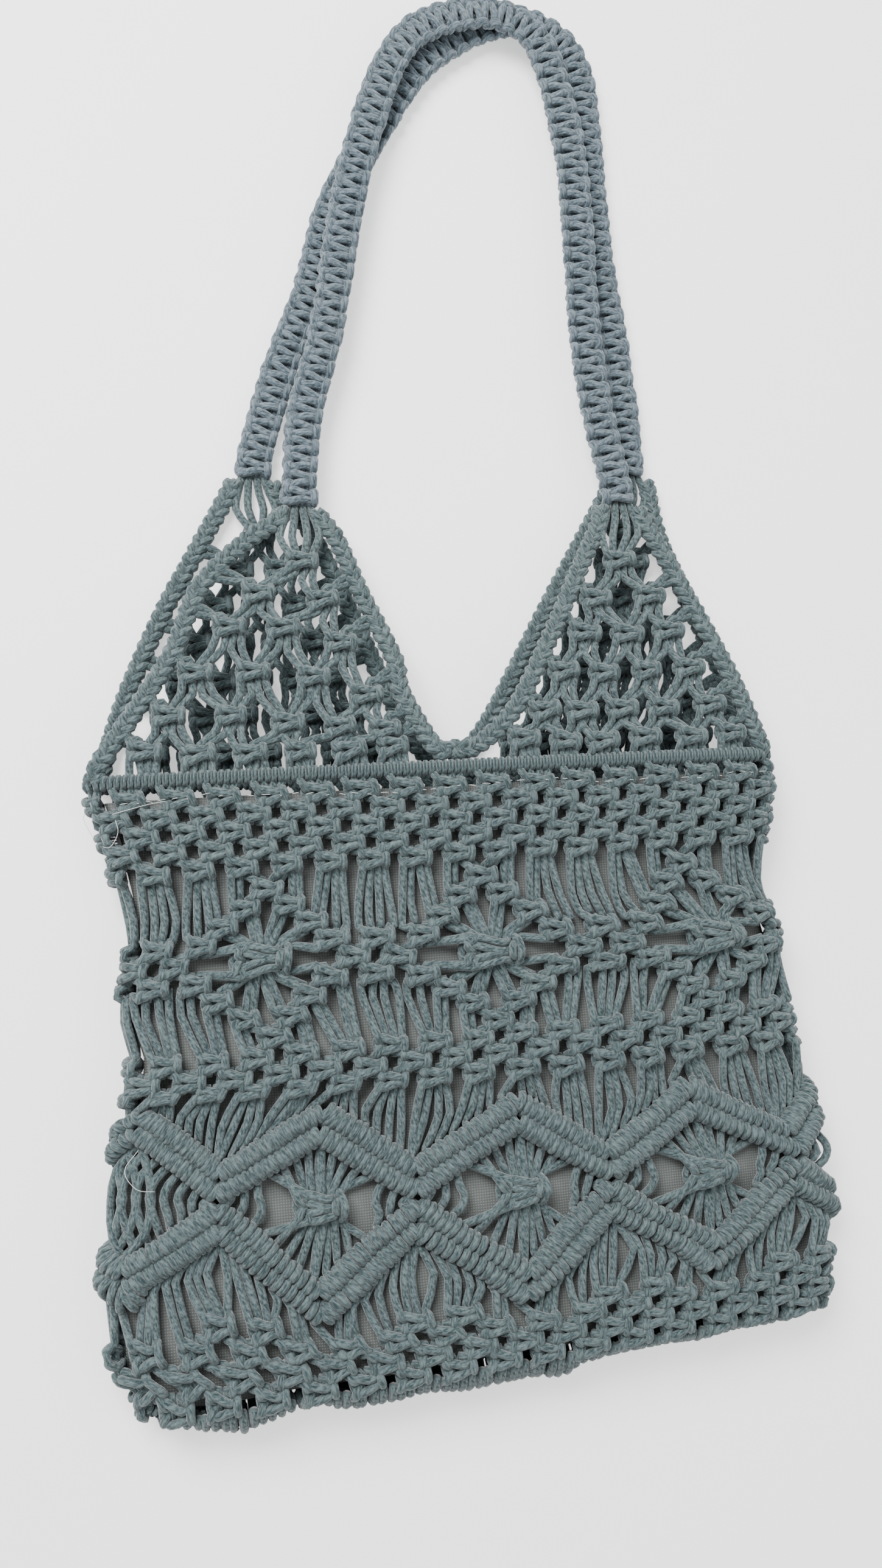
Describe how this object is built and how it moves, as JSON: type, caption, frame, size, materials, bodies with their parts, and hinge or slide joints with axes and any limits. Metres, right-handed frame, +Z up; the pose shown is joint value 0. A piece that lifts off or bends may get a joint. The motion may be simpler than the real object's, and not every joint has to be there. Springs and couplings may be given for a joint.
{
  "type": "macrame shoulder bag",
  "caption": "Knotted cord shoulder bag with a lined pouch, open net triangles at the mouth, a scalloped hem and flat knotted shoulder straps, lying flat.",
  "frame": {"origin": "middle of the bag's box, at the level of the surface it lies on", "axes": "+X across the bag, +Y from the hem towards the straps, +Z up from the lying bag's back to its front"},
  "size_m": [0.351, 0.695, 0.0351],
  "materials": {
    "cotton_cord": "twisted cotton cord, dark blue-green grey, matt",
    "strap_cord": "twisted cotton cord, a little lighter and bluer, matt",
    "lining_cloth": "smooth woven lining cloth, mid grey, satin"
  },
  "bodies": {
    "root": {"front_panel": "cotton_cord", "back_panel": "cotton_cord", "bottom_hem": "cotton_cord", "mouth_cording": "cotton_cord", "lining_pouch": "lining_cloth", "front_left_net": "cotton_cord", "front_left_outer_braid": "cotton_cord", "front_left_inner_braid": "cotton_cord", "front_right_net": "cotton_cord", "front_right_outer_braid": "cotton_cord", "front_right_inner_braid": "cotton_cord", "back_left_net": "cotton_cord", "back_left_outer_braid": "cotton_cord", "back_left_inner_braid": "cotton_cord", "back_right_net": "cotton_cord", "back_right_outer_braid": "cotton_cord", "back_right_inner_braid": "cotton_cord", "front_strap": "strap_cord", "back_strap": "strap_cord"}
  },
  "joints": []
}
